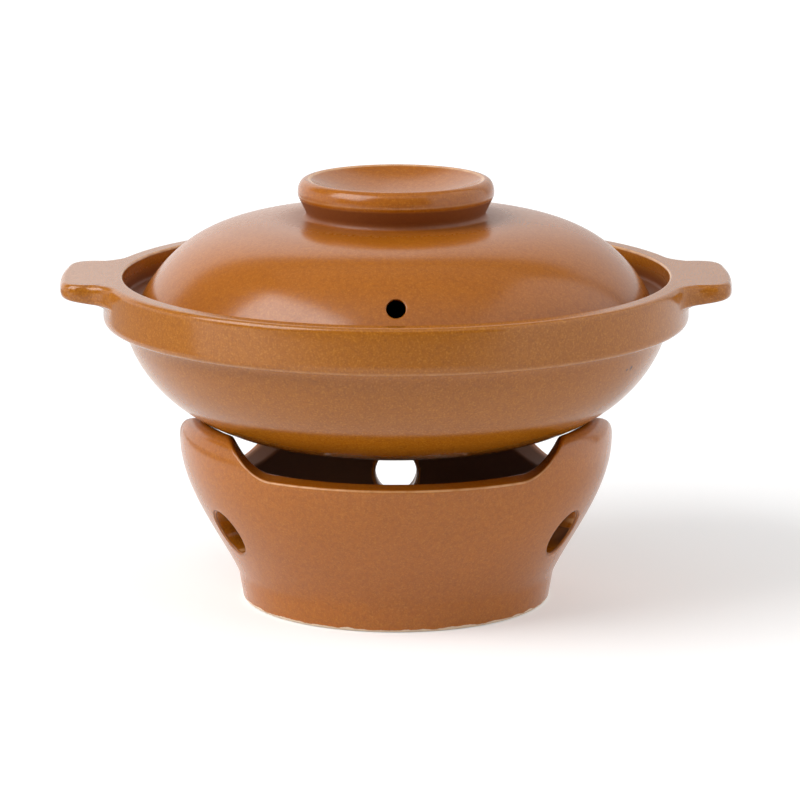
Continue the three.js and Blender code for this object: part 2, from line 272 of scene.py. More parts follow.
def inner_wall(height):
    """Radius and height of the stand's inside."""
    return np.stack([flare_radius(height) - STAND_WALL, height], -1)


# Outlines made for every column of a mesh at once

def soft_corner(before, corner, after, steps=CORNER_STEPS):
    """Points round a corner, from one leg to the other."""
    share = np.linspace(0, 1, steps + 1)[:, None]
    before, corner, after = (np.asarray(point)[..., None, :] for point in (before, corner, after))
    return (1 - share) ** 2 * before + 2 * share * (1 - share) * corner + share ** 2 * after


def straight(start, end, steps):
    """Points between two places, without the places themselves."""
    share = np.linspace(0, 1, steps + 2)[1:-1, None]
    start, end = (np.asarray(point)[..., None, :] for point in (start, end))
    return start + (end - start) * share


def toward(point, other, distance):
    """A place on the way from a point to another, never more than nearly half of the way."""
    way = other - point
    length = np.maximum(np.linalg.norm(way, axis=-1, keepdims=True), MERGE_DISTANCE)
    return point + way * np.minimum(np.asarray(distance)[..., None] / length, LEG_SHARE)


def swell(steps):
    """How a glaze breaks round a corner, with its painted highlight: most in the middle, not at its ends."""
    return np.sin(np.linspace(0, math.pi, steps + 1))


class Outline:
    """An outline in radius and height, with how far the glaze breaks, which also paints a highlight (or
    pools, below zero, which also paints shade), and how much painted shade it has at each point. Points and
    marks may be the same or not in every column."""

    def __init__(self):
        self.runs = []
        self.breaks_and_light = []
        self.painted_shades = []

    def add(self, points, breaks_and_light=0.0, soot=0.0):
        points = np.atleast_2d(points)
        self.runs.append(points)
        self.breaks_and_light.append(np.broadcast_to(breaks_and_light, points.shape[:-1]))
        self.painted_shades.append(np.broadcast_to(soot, points.shape[:-1]))

    def line(self, start, end, rows, breaks_and_light=0.0, soot=0.0):
        """Adds the points between two places."""
        self.add(straight(start, end, rows), breaks_and_light, soot)

    def corner(self, before, corner, after, steps=CORNER_STEPS, most=0.0, soot=0.0):
        """Adds the points round a corner, and how far its glaze breaks, with a painted highlight, at most.
        """
        self.add(soft_corner(before, corner, after, steps), most * swell(steps), soot)

    def columns(self):
        return max(run.shape[0] if run.ndim == 3 else 1 for run in self.runs)

    def points(self):
        runs = [np.broadcast_to(run, (self.columns(),) + run.shape[-2:]) for run in self.runs]
        return np.concatenate(runs, axis=1)

    def marks(self):
        """What the glaze's material reads at each point, by name."""
        marks = {}
        for name, runs in (("glaze_break", self.breaks_and_light), ("soot", self.painted_shades)):
            runs = [np.broadcast_to(run, (self.columns(), run.shape[-1])) for run in runs]
            marks[name] = np.concatenate(runs, axis=1).ravel()
        return marks


# Meshes

def write_marks(mesh, marks):
    for name, values in marks.items():
        mesh.attributes.new(name, "FLOAT", "POINT").data.foreach_set("value", values.astype(np.float32))


def mesh_object(name, vertices, faces, marks):
    """A smooth closed mesh, with the marks for its glaze kept as attributes."""
    mesh = bpy.data.meshes.new(name)
    mesh.from_pydata(vertices.tolist(), [], faces)
    write_marks(mesh, marks)
    work = bmesh.new()
    work.from_mesh(mesh)
    bmesh.ops.remove_doubles(work, verts=work.verts, dist=MERGE_DISTANCE)
    for face in work.faces:
        face.smooth = True
    work.to_mesh(mesh)
    work.free()
    piece = bpy.data.objects.new(name, mesh)
    bpy.context.scene.collection.objects.link(piece)
    return piece


def lofted(name, outline, turns):
    """A piece whose outline may differ from column to column, swept once round the axis."""
    points = outline.points()
    columns, rows = len(turns), points.shape[1]
    radius, height = np.broadcast_to(points, (columns, rows, 2)).transpose(2, 0, 1)
    angle = turns[:, None]
    vertices = np.stack([radius * np.sin(angle), -radius * np.cos(angle), height], -1).reshape(-1, 3)
    faces = []
    for column in range(columns):
        here, there = column * rows, (column + 1) % columns * rows
        faces.extend((here + row, there + row, there + row + 1, here + row + 1) for row in range(rows - 1))
    return mesh_object(name, vertices, faces, outline.marks())


# Node trees

def add_node(tree, kind, inputs=None, **settings):
    """A node with its settings, and its inputs set to values or joined to other nodes' outputs."""
    node = tree.nodes.new(kind)
    for name, value in settings.items():
        setattr(node, name, value)
    for key, value in (inputs or {}).items():
        sockets = [socket for socket in node.inputs
                   if socket.enabled and key in (socket.name, socket.identifier)]
        socket = node.inputs[key] if isinstance(key, int) else sockets[0]
        if isinstance(value, bpy.types.NodeSocket):
            tree.links.new(value, socket)
        else:
            socket.default_value = value
    return node


def result(node, name=None):
    """A node's output, by name or the first that is in use."""
    return next(socket for socket in node.outputs if socket.enabled and name in (None, socket.name))


def geometry_tree(name, sizes):
    """An empty tree of geometry nodes with named inputs, and its two ends."""
    tree = bpy.data.node_groups.new(name, "GeometryNodeTree")
    tree.interface.new_socket("Geometry", in_out="INPUT", socket_type="NodeSocketGeometry")
    for label, kind in sizes.items():
        tree.interface.new_socket(label, in_out="INPUT", socket_type=kind)
    tree.interface.new_socket("Geometry", in_out="OUTPUT", socket_type="NodeSocketGeometry")
    return tree, tree.nodes.new("NodeGroupInput").outputs


def finish_tree(tree, geometry, material):
    """Ends a tree in a plain, smooth mesh with its material."""
    smooth = add_node(tree, "GeometryNodeSetShadeSmooth", {"Geometry": geometry})
    real = add_node(tree, "GeometryNodeRealizeInstances", {"Geometry": result(smooth)})
    painted = add_node(tree, "GeometryNodeSetMaterial", {"Geometry": result(real), "Material": material})
    add_node(tree, "NodeGroupOutput", {"Geometry": result(painted)})


def turned_form_tree():
    """Turns a row of points in radius and height once round the axis."""
    tree, given = geometry_tree("turned_form", {
        "Columns": "NodeSocketInt",
        "Merge Distance": "NodeSocketFloat",
        "Material": "NodeSocketMaterial",
    })
    counts = add_node(tree, "GeometryNodeAttributeDomainSize", {"Geometry": given["Geometry"]})
    rows = result(counts, "Point Count")
    across = add_node(tree, "ShaderNodeMath", {0: given["Columns"], 1: 1.0}, operation="ADD")
    grid = add_node(tree, "GeometryNodeMeshGrid", {"Vertices X": result(across), "Vertices Y": rows})
    index = result(add_node(tree, "GeometryNodeInputIndex"))
    row = result(add_node(tree, "FunctionNodeIntegerMath", {0: index, 1: rows}, operation="MODULO"))
    column = result(add_node(tree, "FunctionNodeIntegerMath", {0: index, 1: rows}, operation="DIVIDE_FLOOR"))
    share = add_node(tree, "ShaderNodeMath", {0: column, 1: given["Columns"]}, operation="DIVIDE")
    turn = add_node(tree, "ShaderNodeMath", {0: result(share), 1: math.tau}, operation="MULTIPLY")

    place = add_node(tree, "GeometryNodeSampleIndex", {
        "Geometry": given["Geometry"],
        "Value": result(add_node(tree, "GeometryNodeInputPosition")),
        "Index": row,
    }, data_type="FLOAT_VECTOR")
    swung = add_node(tree, "ShaderNodeVectorRotate", {
        "Vector": result(place),
        "Axis": (0, 0, 1),
        "Angle": result(turn),
    }, rotation_type="AXIS_ANGLE")
    moved = add_node(tree, "GeometryNodeSetPosition", {
        "Geometry": result(grid, "Mesh"),
        "Position": result(swung),
    })

    breaks_and_light = add_node(tree, "GeometryNodeSampleIndex", {
        "Geometry": given["Geometry"],
        "Value": result(add_node(tree, "GeometryNodeInputNamedAttribute", {"Name": "glaze_break"})),
        "Index": row,
    })
    kept = add_node(tree, "GeometryNodeStoreNamedAttribute", {
        "Geometry": result(moved),
        "Name": "glaze_break",
        "Value": result(breaks_and_light),
    })
    closed = add_node(tree, "GeometryNodeMergeByDistance", {
        "Geometry": result(kept),
        "Distance": given["Merge Distance"],
    })
    finish_tree(tree, result(closed), given["Material"])
    return tree


def pierced_wall_tree():
    """Cuts a ring of equal holes through a wall, with one cutter turned about the axis."""
    tree, given = geometry_tree("pierced_wall", {
        "Cutter": "NodeSocketObject",
        "Count": "NodeSocketInt",
        "First Turn": "NodeSocketFloat",
        "Material": "NodeSocketMaterial",
    })
    cutter = add_node(tree, "GeometryNodeObjectInfo", {"Object": given["Cutter"]})
    places = add_node(tree, "GeometryNodePoints", {"Count": given["Count"]})
    pitch = add_node(tree, "ShaderNodeMath", {0: math.tau, 1: given["Count"]}, operation="DIVIDE")
    index = result(add_node(tree, "GeometryNodeInputIndex"))
    turn = add_node(tree, "ShaderNodeMath", {0: index, 1: result(pitch), 2: given["First Turn"]},
                    operation="MULTIPLY_ADD")
    facing = add_node(tree, "ShaderNodeCombineXYZ", {"Z": result(turn)})
    ring = add_node(tree, "GeometryNodeInstanceOnPoints", {
        "Points": result(places),
        "Instance": result(cutter, "Geometry"),
        "Rotation": result(facing),
    })
    solid = add_node(tree, "GeometryNodeRealizeInstances", {"Geometry": result(ring)})
    cut = add_node(tree, "GeometryNodeMeshBoolean", {"Mesh 1": given["Geometry"], "Mesh 2": result(solid)},
                   operation="DIFFERENCE", solver="EXACT")
    finish_tree(tree, result(cut, "Mesh"), given["Material"])
    return tree


def apply_tree(piece, tree, values):
    """Runs a tree on a piece and keeps the plain mesh that comes out."""
    modifier = piece.modifiers.new(tree.name, "NODES")
    modifier.node_group = tree
    for item in tree.interface.items_tree:
        if item.in_out == "INPUT" and item.name in values:
            modifier[item.identifier] = values[item.name]
    evaluated = piece.evaluated_get(bpy.context.evaluated_depsgraph_get())
    mesh = bpy.data.meshes.new_from_object(evaluated)
    piece.modifiers.remove(modifier)
    old = piece.data
    piece.data = mesh
    bpy.data.meshes.remove(old)
    mesh.name = piece.name
    return piece


def turned(name, outline, columns, material):
    """A turned piece, from an outline that starts and ends on the axis."""
    radius, height = outline.points()[0].T
    row = np.stack([np.zeros_like(radius), -radius, height], -1)
    mesh = bpy.data.meshes.new(name)
    mesh.from_pydata(row.tolist(), [(i, i + 1) for i in range(len(row) - 1)], [])
    write_marks(mesh, outline.marks())
    piece = bpy.data.objects.new(name, mesh)
    bpy.context.scene.collection.objects.link(piece)
    sizes = {"Columns": columns, "Merge Distance": MERGE_DISTANCE, "Material": material}
    return apply_tree(piece, turned_form, sizes)


# Holes with softened edges

HOLE_OVERRUN = 6 * MM
HOLE_TAIL = 0.4 * MM
HOLE_EDGE_DEGREES = 86
EDGE_TURNS = np.radians(np.linspace(0, HOLE_EDGE_DEGREES, HOLE_EDGE_STEPS))


def hole_cutter(on_outside, on_inside, axis, radius, edge):
    """A spool-shaped cutter that flares into the wall's two faces. on_outside and on_inside give the
    place on each face across and up from the hole's centre, and axis points out of the wall."""
    around = np.linspace(0, math.tau, HOLE_POINTS, endpoint=False)
    rings = []
    breaks_and_light = []

    def ring(face, width, sunk, break_and_light):
        rings.append(face(width * np.cos(around), width * np.sin(around)) + axis * sunk)
        breaks_and_light.append(np.full(HOLE_POINTS, break_and_light))

    def flare(face, side, break_and_light):
        """Rings from the bore out to the face and past it."""
        for turn in EDGE_TURNS:
            ring(face, radius + edge * (1 - math.cos(turn)), -side * edge * (1 - math.sin(turn)), break_and_light)
        last = EDGE_TURNS[-1]
        width = radius + edge * (1 - math.cos(last)) + HOLE_TAIL * math.sin(last)
        sunk = -side * (edge * (1 - math.sin(last)) - HOLE_TAIL * math.cos(last))
        ring(face, width, sunk, break_and_light)
        ring(face, width, side * HOLE_OVERRUN, break_and_light)

    flare(on_outside, 1, FULL_BREAK_HIGHLIGHT)
    rings.reverse()
    breaks_and_light.reverse()
    flare(on_inside, -1, HOLE_INNER_BREAK_HIGHLIGHT)
    ends = [rings[0].mean(0), rings[-1].mean(0)]
    vertices = np.concatenate(rings + [np.array(ends)])
    faces = []
    for row in range(len(rings) - 1):
        for point in range(HOLE_POINTS):
            following = (point + 1) % HOLE_POINTS
            here, there = row * HOLE_POINTS, (row + 1) * HOLE_POINTS
            faces.append((here + point, there + point, there + following, here + following))
    first_end = len(rings) * HOLE_POINTS
    last_ring = first_end - HOLE_POINTS
    for point in range(HOLE_POINTS):
        following = (point + 1) % HOLE_POINTS
        faces.append((first_end, point, following))
        faces.append((first_end + 1, last_ring + following, last_ring + point))
    breaks_and_light = np.concatenate(breaks_and_light + [np.ones(2)])
    marks = {"glaze_break": breaks_and_light, "soot": np.zeros_like(breaks_and_light)}
    cutter = mesh_object("hole_cutter", vertices, faces, marks)
    work = bmesh.new()
    work.from_mesh(cutter.data)
    bmesh.ops.recalc_face_normals(work, faces=work.faces)
    work.to_mesh(cutter.data)
    work.free()
    return cutter


def pierce(piece, cutter, count, first_turn, material):
    """Cuts a ring of holes in a piece and clears the cutter away."""
    apply_tree(piece, pierced_wall, {
        "Cutter": cutter,
        "Count": count,
        "First Turn": first_turn,
        "Material": material,
    })
    bpy.data.objects.remove(cutter)
    return piece


# Burner stand

def notch_height(across):
    """Height of the front notch's edge, at a distance from its middle."""
    lip = np.array([NOTCH_TOP_HALF, STAND_HEIGHT - NOTCH_ROUND])
    elbow = np.array([NOTCH_ELBOW_HALF, NOTCH_FLOOR])
    lug = lip + (lip - elbow) * NOTCH_ROUND / (lip - elbow)[1]
    sweep = soft_corner((NOTCH_FLOOR_HALF, NOTCH_FLOOR), elbow, lip, NOTCH_STEPS)
    edge = np.concatenate([sweep, soft_corner(lip, lug, lug + (NOTCH_ROUND, 0), NOTCH_STEPS)])
    return np.interp(np.abs(across), edge[:, 0], edge[:, 1])


def scoop_height(across):
    """Height of a rear scoop's edge, at a distance from its middle, rounded over at the top of the lugs."""
    inside = np.clip(SCOOP_RADIUS ** 2 - across ** 2, 0, None)
    scoop = SCOOP_FLOOR + SCOOP_RADIUS - np.sqrt(inside)
    return soft_least(scoop, STAND_HEIGHT, SCOOP_LIP_ROUND)


def soft_least(one, other, ease):
    """The lesser of two heights, with the corner between them eased."""
    share = np.clip(0.5 + 0.5 * (other - one) / ease, 0, 1)
    return one * share + other * (1 - share) - ease * share * (1 - share)


def opening_height(radius, turn):
    """Height of the stand's upper edge in a direction, as the notch and the scoops leave it."""
    height = np.full(np.broadcast(radius, turn).shape, STAND_HEIGHT)
    for swing, edge in ((0, notch_height), (SCOOP_TURN, scoop_height), (-SCOOP_TURN, scoop_height)):
        facing = radius * np.cos(turn - swing) > 0
        height = np.where(facing, np.minimum(height, edge(radius * np.sin(turn - swing))), height)
    return height


def stand_turns():
    """Directions of the stand's columns, evenly spaced along its upper edge."""
    turns = np.linspace(0, math.tau, EDGE_SAMPLES + 1)
    steps = np.hypot(SHOULDER_RADIUS * np.diff(turns), np.diff(opening_height(SHOULDER_RADIUS, turns)))
    length = np.concatenate([[0], np.cumsum(steps)])
    return np.interp(np.linspace(0, length[-1], STAND_COLUMNS, endpoint=False), length, turns)


def top_height(radius, turn):
    """Height of the stand's upper face: its edge, or the seat that follows the bowl."""
    seat = POT_BOTTOM + bowl_rise(radius) - SEAT_GAP
    return soft_least(opening_height(radius, turn), seat, SEAT_EASE)


def halved(low, high, past):
    """The last values, between low and high ones, that are not yet past a limit."""
    for _ in range(HALVINGS):
        middle = (low + high) / 2
        beyond = past(middle)
        high = np.where(beyond, middle, high)
        low = np.where(beyond, low, middle)
    return low


def meeting(wall, top, turns):
    """How high up a wall meets the upper face, in each column."""
    def past(climb):
        radius, height = wall(climb).T
        return height > top(radius, turns)
    return halved(np.full(len(turns), WAIST_HEIGHT), np.full(len(turns), STAND_HEIGHT), past)


def eased(value, low, high):
    """How far a value has come from one end of a stretch to the other, with smooth ends."""
    share = np.clip((value - low) / (high - low), 0, 1)
    return share * share * (3 - 2 * share)


def stand_outline(turns):
    columns = len(turns)
    climb = meeting(outer_wall, opening_height, turns)
    depth = meeting(inner_wall, top_height, turns)
    outside, inside = outer_wall(climb), inner_wall(depth)
    width = outside[:, 0] - inside[:, 0]
    edge = np.minimum(STAND_EDGE, STAND_EDGE_SHARE * width)
    radii = np.linspace(outside[:, 0] - edge, inside[:, 0] + edge, STAND_TOP_ROWS, axis=-1)
    top = np.stack([radii, top_height(radii, turns[:, None])], -1)
    sharp = 1 - eased(climb, SHOULDER_HEIGHT, STAND_HEIGHT)[:, None]
    # Painted shade: the top of the rear scoops is darkened the deeper it lies below the lugs, where it sits
    # in shadow under the pot
    scooped = eased(STAND_HEIGHT - top[:, :, 1], SCOOP_SHADE_START, SCOOP_SHADE_FULL) * (np.cos(turns) < 0)[:, None]
    scoop_shade = scooped * np.minimum(np.linspace(0, 1, STAND_TOP_ROWS) / SHADE_EDGE_SHARE, 1)

    foot_inner = FOOT_RADIUS - FOOT_RING_WIDTH
    foot_ease = FOOT_EDGE / 2
    recess_end = (foot_inner - foot_ease, FOOT_RING_DEPTH)
    outline = Outline()
    outline.add([[0, FOOT_RING_DEPTH]])
    outline.line((0, FOOT_RING_DEPTH), recess_end, FOOT_ROWS)
    outline.corner(recess_end, (foot_inner, FOOT_RING_DEPTH), (foot_inner, FOOT_RING_DEPTH - foot_ease),
                   FOOT_CORNER_STEPS)
    outline.corner((foot_inner, foot_ease), (foot_inner, 0), (foot_inner + foot_ease, 0), FOOT_CORNER_STEPS)
    outline.corner((FOOT_RADIUS - FOOT_EDGE, 0), (FOOT_RADIUS, 0), (FOOT_RADIUS, FOOT_EDGE), most=FULL_BREAK_HIGHLIGHT)
    outline.line((FOOT_RADIUS, FOOT_EDGE), (WAIST_RADIUS, WAIST_HEIGHT), WAIST_ROWS)

    waist = np.full(columns, WAIST_HEIGHT)
    outline.add(outer_wall(np.linspace(waist, climb - edge, STAND_WALL_ROWS, axis=-1)[:, :-1]))
    outline.corner(outer_wall(climb - edge), outside, top[:, 0], most=sharp)
    outline.add(top[:, 1:-1], soot=scoop_shade[:, 1:-1])
    # Painted shade comes in round the inner edge and covers the whole inside of the stand and its floor
    inner_shade = np.maximum(np.linspace(0, 1, CORNER_STEPS + 1), scoop_shade[:, -1:])
    outline.corner(top[:, -1], inside, inner_wall(depth - edge), most=STAND_INNER_BREAK_HIGHLIGHT, soot=inner_shade)
    floor_edge = STAND_FLOOR_TOP + FLOOR_FILLET
    fillet_top = np.full(columns, floor_edge)
    depths = np.linspace(depth - edge, fillet_top, STAND_INSIDE_ROWS, axis=-1)[:, 1:-1]
    outline.add(inner_wall(depths), soot=1.0)

    corner = flare_radius(floor_edge) - STAND_WALL
    floor_start = (corner - FLOOR_FILLET, STAND_FLOOR_TOP)
    outline.corner((corner, floor_edge), (corner, STAND_FLOOR_TOP), floor_start, soot=1.0)
    outline.line(floor_start, (0, STAND_FLOOR_TOP), FLOOR_ROWS, soot=1.0)
    outline.add([[0, STAND_FLOOR_TOP]], soot=1.0)
    return outline


def on_stand_wall(inset):
    """Gives places on one face of the stand's wall, across and up from a draft hole at the front."""
    def place(across, up):
        height = DRAFT_HOLE_HEIGHT + up
        radius = flare_radius(height) - inset
        return np.stack([across, -np.sqrt(radius ** 2 - across ** 2), height], -1)
    return place


def make_stand(material):
    turns = stand_turns()
    stand = lofted("stand_glazed", stand_outline(turns), turns)
    cutter = hole_cutter(on_stand_wall(0), on_stand_wall(STAND_WALL), np.array([0, -1, 0]),
                         DRAFT_HOLE_RADIUS, DRAFT_HOLE_EDGE)
    return pierce(stand, cutter, DRAFT_HOLE_COUNT, math.pi / DRAFT_HOLE_COUNT, material)


# Pot

def handle_sweep():
    """Half of a handle's outline seen from above, from the middle of its tip round to the rim."""
    fillet_y = HANDLE_HALF_WIDTH + HANDLE_FILLET
    fillet_x = math.sqrt((RIM_RADIUS + HANDLE_FILLET) ** 2 - fillet_y ** 2)
    tip_turn = math.asin((HANDLE_HALF_WIDTH - HANDLE_CORNER) / HANDLE_REACH)
    rim_turn = math.atan2(fillet_y, fillet_x)
    tip = np.linspace(0, tip_turn, HANDLE_TIP_STEPS)[:-1]
    tip = HANDLE_REACH * np.stack([np.cos(tip), np.sin(tip)], -1)
    corner_x = HANDLE_REACH * math.cos(tip_turn)
    corner = soft_corner((corner_x, HANDLE_HALF_WIDTH - HANDLE_CORNER), (corner_x, HANDLE_HALF_WIDTH),
                         (fillet_x, HANDLE_HALF_WIDTH), HANDLE_CORNER_STEPS)[:-1]
    bend = np.linspace(-math.pi / 2, rim_turn - math.pi, HANDLE_FILLET_STEPS)
    bend = HANDLE_FILLET * np.stack([np.cos(bend), np.sin(bend)], -1) + (fillet_x, fillet_y)
    return np.concatenate([tip, corner, bend])


def pot_plan():
    """The pot's outer outline seen from above: each column's direction and reach, and how squarely a
    line out from the axis crosses it."""
    handle = handle_sweep()
    turn = np.arctan2(handle[:, 1], handle[:, 0])
    reach = np.hypot(handle[:, 0], handle[:, 1])
    rim = np.linspace(turn[-1], math.pi / 2, RIM_COLUMNS)[1:]
    turn = np.concatenate([turn, rim])
    reach = np.concatenate([reach, np.full(len(rim), RIM_RADIUS)])
    turn = np.concatenate([turn, math.pi - turn[-2:0:-1]])
    reach = np.concatenate([reach, reach[-2:0:-1]])
    turn = np.concatenate([turn, turn + math.pi])
    reach = np.concatenate([reach, reach])
    place = reach[:, None] * np.stack([np.cos(turn), np.sin(turn)], -1)
    along = np.roll(place, -1, 0) - np.roll(place, 1, 0)
    square = np.abs(place[:, 0] * along[:, 1] - place[:, 1] * along[:, 0])
    square /= np.linalg.norm(place, axis=1) * np.linalg.norm(along, axis=1)
    return turn + math.pi / 2, reach, square


def pot_outline(reach, square):
    columns = len(reach)
    out = reach - RIM_RADIUS
    band_bottom = POT_BOTTOM + BOWL_DEPTH - BAND_LAP
    rim_inner = RIM_RADIUS - RIM_WALL
    ledge = RIM_TOP - LEDGE_DEPTH
    lip_bottom = ledge - LEDGE_LIP_HEIGHT
    edge = np.minimum(HANDLE_EDGE / square, RIM_OUTER_ROUND + HANDLE_EDGE_GROWTH * out)
    drop = RIM_OUTER_ROUND + np.minimum(HANDLE_EDGE_DROP - RIM_OUTER_ROUND, HANDLE_DROP_GROWTH * out)
    taper = (HANDLE_ROOT_THICKNESS - HANDLE_TIP_THICKNESS) * out / (HANDLE_REACH - RIM_RADIUS)

    band_foot = np.array([RIM_RADIUS, band_bottom])
    band_start = band_foot + (0, BAND_EDGE)
    root = np.array([RIM_RADIUS, RIM_TOP - HANDLE_ROOT_THICKNESS - HANDLE_ROOT_DROP])
    under_tip = np.stack([reach, RIM_TOP - HANDLE_ROOT_THICKNESS + taper], -1)
    tip = np.stack([reach, np.full(columns, RIM_TOP)], -1)
    tip_start = tip - np.stack([np.zeros(columns), drop], -1)
    tip_end = tip - np.stack([edge, np.zeros(columns)], -1)
    root_start = toward(root, band_foot, HANDLE_ROOT_FILLET)
    root_end = toward(root, under_tip, HANDLE_ROOT_FILLET / square)
    under_start = toward(under_tip, root, edge)
    under_end = toward(under_tip, tip, HANDLE_EDGE)
    on_handle = eased(out, 0, HANDLE_EDGE)[:, None]

    bowl = bowl_curve(BOWL_RADIUS, BOWL_DEPTH, POT_BOTTOM, BOWL_DEPTH - BAND_LAP, BOWL_ROWS)
    outline = Outline()
    outline.add(bowl[:-BOWL_TRIM])
    outline.corner(bowl[-BOWL_TRIM - 1], bowl[-1], bowl[-1] + (BAND_FILLET, 0))
    outline.corner(band_foot - (BAND_EDGE, 0), band_foot, band_start, most=BAND_BREAK_HIGHLIGHT)
    outline.line(band_start, root_start, BAND_ROWS)
    outline.corner(root_start, root, root_end)
    outline.line(root_end, under_start, HANDLE_UNDER_ROWS)
    outline.corner(under_start, under_tip, under_end, most=HANDLE_UNDER_BREAK_HIGHLIGHT * on_handle)
    outline.corner(tip_start, tip, tip_end, HANDLE_EDGE_STEPS, HANDLE_TIP_BREAK_HIGHLIGHT)

    rim_edge = np.array([rim_inner, RIM_TOP])
    rim_start, rim_end = rim_edge + (RIM_INNER_ROUND, 0), rim_edge - (0, RIM_INNER_ROUND)
    shelf = np.array([rim_inner, ledge])
    shelf_start, shelf_end = shelf + (0, LEDGE_ROUND), shelf - (LEDGE_ROUND, 0)
    lip = np.array([LEDGE_INNER_RADIUS, ledge])
    under_lip = np.array([BOWL_RADIUS - BOWL_WALL, lip_bottom])
    lip_start, lip_end = lip + (LEDGE_ROUND, 0), toward(lip, under_lip, LEDGE_ROUND)
    floor = POT_BOTTOM + BOWL_FLOOR
    outline.line(tip_end, rim_start, RIM_ROWS)
    outline.corner(rim_start, rim_edge, rim_end, RIM_EDGE_STEPS, FULL_BREAK_HIGHLIGHT)
    # The inside of the rim and the ledge darken as pooled glaze, and as painted shade under the lid
    outline.line(rim_end, shelf_start, RIM_ROWS, np.linspace(0, RIM_WALL_POOL_SHADE, RIM_ROWS))
    outline.add(soft_corner(shelf_start, shelf, shelf_end, SMALL_CORNER_STEPS), FULL_POOL_SHADE)
    outline.line(shelf_end, lip_start, SHELF_ROWS, FULL_POOL_SHADE)
    outline.corner(lip_start, lip, lip_end, LIP_STEPS, LEDGE_BREAK_HIGHLIGHT)
    outline.line(lip_end, under_lip, LEDGE_LIP_ROWS)
    outline.add(bowl_curve(under_lip[0], lip_bottom - floor, floor, lip_bottom - floor, BOWL_ROWS)[::-1])
    return outline


def make_pot(material):
    turns, reach, square = pot_plan()
    pot = lofted("pot_glazed", pot_outline(reach, square), turns)
    pot.data.materials.append(material)
    return pot


# Lid

def lid_outline():
    knob_bottom = LID_EDGE + dome_height(KNOB_BASE_RADIUS, LID_RADIUS, LID_RISE)
    lip_radius = KNOB_BASE_RADIUS + KNOB_FLARE
    crease = np.array([lip_radius, KNOB_TOP - KNOB_LIP_HEIGHT])
    crest = np.array([lip_radius - KNOB_LIP_WIDTH, KNOB_TOP])
    foot = np.array([KNOB_BASE_RADIUS, knob_bottom])
    foot_end = foot + (0, KNOB_FILLET)
    dish = KNOB_TOP - KNOB_DISH_DEPTH

    inner = dome_curve(LID_RADIUS - LID_WALL, LID_RISE - LID_WALL, 0, DOME_INNER_ROWS)[::-1]
    dome = dome_curve(LID_RADIUS, LID_RISE, KNOB_BASE_RADIUS + KNOB_FILLET, DOME_ROWS)
    rim_inner = np.array([LID_RADIUS - LID_WALL, LID_EDGE])
    rim_outer = np.array([LID_RADIUS, LID_EDGE])
    outline = Outline()
    outline.add(inner[:-BOWL_TRIM])
    outline.corner(inner[-BOWL_TRIM - 1], rim_inner, rim_inner + (LID_EDGE_ROUND, 0), SMALL_CORNER_STEPS,
                   FULL_BREAK_HIGHLIGHT)
    outline.corner(rim_outer - (LID_EDGE_ROUND, 0), rim_outer, dome[DOME_TRIM], most=FULL_BREAK_HIGHLIGHT)
    shown = dome[DOME_TRIM + 1:]
    # The dome darkens towards the knob's foot as pooled glaze, and as painted shade and painted reflection
    # of the knob
    outline.add(shown, DOME_POOL_SHADE * eased(shown[:, 0], foot[0] + POOL_SHADE_REACH, foot[0]))
    # The knob's foot and cone are dark as pooled glaze, and as painted shade under its lip
    outline.add(soft_corner(dome[-1], foot, foot_end)[1:], np.linspace(DOME_POOL_SHADE, FULL_POOL_SHADE, CORNER_STEPS))
    cone_end = toward(crease, foot_end, KNOB_CREASE_ROUND)
    outline.line(foot_end, cone_end, KNOB_CONE_ROWS, FULL_POOL_SHADE)
    lip = soft_corner(crease, (lip_radius, KNOB_TOP), crest, KNOB_LIP_STEPS)
    hollow = soft_corner(crest, (crest[0] / 2, dish), (0, dish), KNOB_DISH_STEPS)
    outline.corner(cone_end, crease, lip[KNOB_LIP_TRIM], SMALL_CORNER_STEPS, CREASE_BREAK_HIGHLIGHT)
    outline.add(lip[KNOB_LIP_TRIM + 1:-KNOB_LIP_TRIM])
    outline.corner(lip[-KNOB_LIP_TRIM], crest, hollow[KNOB_DISH_TRIM], LIP_STEPS, FULL_BREAK_HIGHLIGHT)
    outline.add(hollow[KNOB_DISH_TRIM + 1:])
    return outline


def on_dome(edge, rise):
    """Gives places on one face of the lid, across and up from the vent, and the way out along its bore."""
    radius = LID_RADIUS - VENT_INSET
    axis = np.array([0, -math.cos(VENT_SLOPE), math.sin(VENT_SLOPE)])
    up = np.array([0, math.sin(VENT_SLOPE), math.cos(VENT_SLOPE)])
    centre = np.array([0, -radius, LID_EDGE + dome_height(radius, LID_RADIUS, LID_RISE)])

    def place(across, rise_along):
        base = centre + across[:, None] * np.array([1, 0, 0]) + rise_along[:, None] * up

        def past(distance):
            x, y, height = (base + distance[:, None] * axis).T
            return height > LID_EDGE + dome_height(np.hypot(x, y), edge, rise)

        found = halved(np.full(len(across), -VENT_SEARCH), np.full(len(across), LID_WALL), past)
        return base + found[:, None] * axis
    return place, axis


def make_lid(material):
    lid = turned("lid_glazed", lid_outline(), LID_COLUMNS, material)
    on_outside, axis = on_dome(LID_RADIUS, LID_RISE)
    on_inside, _ = on_dome(LID_RADIUS - LID_WALL, LID_RISE - LID_WALL)
    cutter = hole_cutter(on_outside, on_inside, axis, VENT_RADIUS, VENT_EDGE)
    return pierce(lid, cutter, 1, 0.0, material)


# Fuel cup

